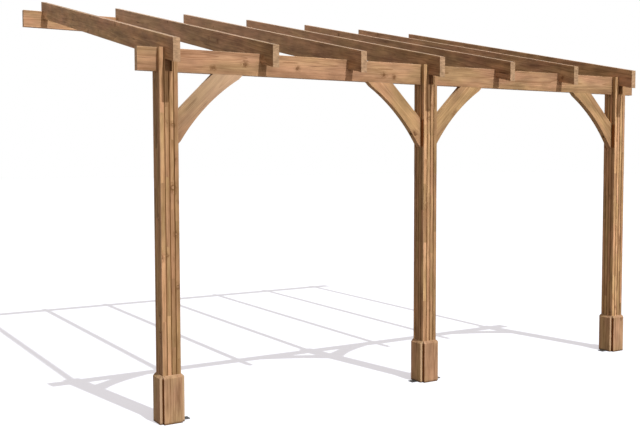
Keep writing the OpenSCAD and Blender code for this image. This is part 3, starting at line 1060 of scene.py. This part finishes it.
@dataclass
class Studio:
    """White floor and surround, a low sun from the front and the camera.

    Attributes:
        eye: Camera's place, from the middle post's foot.
        yaw: Camera's turn to the right of straight ahead, in degrees.
        pitch: Camera's turn down from level, in degrees.
        focal_px: Focal length in pixels of the image.
        principal_px: Point of the image that the camera's axis meets, from the top left.
        image_px: Width and height of the image.
        sensor_mm: Width of the camera's sensor.
        sun_path: Direction in which sunlight travels.
        sun_strength: Strength of the sun.
        sun_size: Angle that the sun fills, in degrees.
        fill_path: Direction in which the soft light from the front travels.
        fill_strength: Strength of that light.
        fill_size: Angle that it fills, in degrees.
        fill_tone: Its colour.
        sky: Strength of the surrounding light.
        sky_tone: Colour of the surrounding light.
        floor_reach: Half the width of the floor.
        floor_tone: Colour of the floor as it lights the timber from below.
        floor_glow: Share of its own light in the floor as it is seen.
        floor_shade: Colour of that light, which shows in the shadows.
        floor_skin: Colour of the floor where it shows lamps and shadows.
    """

    eye: tuple[float, float, float] = (-4.0332, -5.3974, 1.6662)
    yaw: float = 32.114
    pitch: float = 3.277
    focal_px: float = 910.56
    principal_px: tuple[float, float] = (351.15, 208.19)
    image_px: tuple[int, int] = (640, 430)
    sensor_mm: float = 36.0
    sun_path: tuple[float, float, float] = (-0.172, 1.0, -1.712)
    sun_strength: float = 3.6
    sun_size: float = 0.5
    fill_path: tuple[float, float, float] = (-0.25, 1.0, -0.25)
    fill_strength: float = 0.5
    fill_size: float = 60.0
    fill_tone: str = "#fff6ee"
    sky: float = 0.5
    sky_tone: str = "#fff1e6"
    floor_reach: float = 60.0
    floor_tone: str = "#7d766e"
    floor_glow: float = 0.53
    floor_shade: str = "#fdf9ff"
    floor_skin: str = "#eef6ff"

    def build(self) -> None:
        """Set up the floor, the light and the camera."""
        low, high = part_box("middle_post")
        foot = Vector(((low.x + high.x) / 2, (low.y + high.y) / 2, low.z))
        self.lay_floor(foot)
        self.light()
        self.place_camera(foot)
        bpy.context.scene.view_settings.view_transform = "Standard"

    def seen(self, tree: Tree) -> Socket:
        """Return 1 for rays that show the surround, in the picture or in a gloss, and 0 for its light."""
        shown = add_node(tree, "LightPath", out="Is Camera Ray")
        kinds = shown.node.outputs
        for kind in ("Is Glossy Ray", "Is Transmission Ray"):
            shown = add_node(tree, "Math", {0: shown, 1: kinds[kind]}, operation="MAXIMUM")
        return shown

    def lay_floor(self, foot: Vector) -> None:
        """Lay the white floor under the posts.

        Args:
            foot: Middle of the middle post's foot.
        """
        shape = bmesh.new()
        bmesh.ops.create_grid(shape, x_segments=1, y_segments=1, size=self.floor_reach,
                              matrix=Matrix.Translation(foot))
        mesh = bpy.data.meshes.new("floor")
        shape.to_mesh(mesh)
        shape.free()
        floor = bpy.data.objects.new("floor", mesh)
        bpy.context.scene.collection.objects.link(floor)
        material, tree = new_material("white_floor")
        shadowed = add_node(tree, "BsdfDiffuse", {"Color": linear(self.floor_skin)})
        white = add_node(tree, "Emission", {"Color": linear(self.floor_shade)})
        shown = add_node(tree, "MixShader", {0: self.floor_glow, 1: shadowed, 2: white})
        bounce = add_node(tree, "BsdfDiffuse", {"Color": linear(self.floor_tone)})
        both = add_node(tree, "MixShader", {0: self.seen(tree), 1: bounce, 2: shown})
        add_node(tree, "OutputMaterial", {0: both})
        mesh.materials.append(material)

    def light(self) -> None:
        """Add the sun, the soft light from the front and the even light all round."""
        lamps = (("sun", self.sun_path, self.sun_strength, self.sun_size, "#ffffff"),
                 ("front_light", self.fill_path, self.fill_strength, self.fill_size, self.fill_tone))
        for name, path, strength, size, tone in lamps:
            lamp = bpy.data.lights.new(name, "SUN")
            lamp.energy = strength
            lamp.angle = math.radians(size)
            lamp.color = linear(tone)[:3]
            holder = bpy.data.objects.new(name, lamp)
            holder.rotation_euler = Vector(path).to_track_quat("-Z", "Y").to_euler()
            bpy.context.scene.collection.objects.link(holder)
        world = bpy.data.worlds.new("surround")
        world.use_nodes = True
        tree = world.node_tree
        tree.nodes.clear()
        light = add_node(tree, "Background", {"Color": linear(self.sky_tone), "Strength": self.sky})
        white = add_node(tree, "Background", {"Color": (1.0, 1.0, 1.0, 1.0), "Strength": 1.0})
        both = add_node(tree, "MixShader", {0: self.seen(tree), 1: light, 2: white})
        add_node(tree, "OutputWorld", {0: both})
        bpy.context.scene.world = world

    def place_camera(self, foot: Vector) -> None:
        """Put the camera where the picture was taken from.

        Args:
            foot: Middle of the middle post's foot.
        """
        width, height = self.image_px
        lens = bpy.data.cameras.new("camera")
        lens.sensor_width = self.sensor_mm
        lens.lens = self.focal_px / width * self.sensor_mm
        lens.shift_x = (width / 2 - self.principal_px[0]) / width
        lens.shift_y = (self.principal_px[1] - height / 2) / width
        camera = bpy.data.objects.new("camera", lens)
        camera.location = foot + Vector(self.eye)
        camera.rotation_euler = (math.radians(90 - self.pitch), 0.0, math.radians(-self.yaw))
        bpy.context.scene.collection.objects.link(camera)
        bpy.context.scene.camera = camera


def main() -> None:
    """Dress the pergola's sub-assemblies in order and set up the studio."""
    logging.basicConfig(level=logging.INFO, format="%(name)s: %(message)s")
    # Hot-dipped zinc that has gone dull: grey crystals with a soft, broken gloss.
    steel = GalvanisedSteel("galvanised_steel").material()
    # Glued pine staves under oil: upright strips of differing tone, with painted light and shade across the
    # front, and painted shade in the grooves, on the sides and beside the braces' feet.
    staves = Staves("oiled_pine_staves")
    # Planed pine on the ground: even, warm boards, with painted shade along the feet, on the bevels and, with
    # some dirt, in the inner corners.
    skirting = Skirting("oiled_pine_skirting")
    # Planed pine under oil: warm, clear boards with a quiet figure and few knots.
    boards = Softwood("oiled_pine", earlywood="#c9a88a", latewood="#9b795b", streak_share=0.5,
                      knot_share=0.14, level=1.04)
    # Knotty pine that took the oil unevenly: brown blotches and many small knots.
    rafters = Softwood("oiled_pine_rafters", earlywood="#caa788", latewood="#9b7758", streak="#7a563a",
                       blotch_depth=0.6, knot_share=0.34, knot_mm=8.0)
    # Straight-grained pine: pale and calm, with a dark knot here and there.
    calm = Softwood("oiled_pine_braces", latewood="#a3815f", knot="#64391a", blotch_depth=0.44,
                    streak_share=0.25, knot_share=0.14)
    PostLine(staves, skirting, steel).build()
    Roof(boards, rafters).build()
    Braces(calm, steel).build()
    Studio().build()


if __name__ == "__main__":
    main()
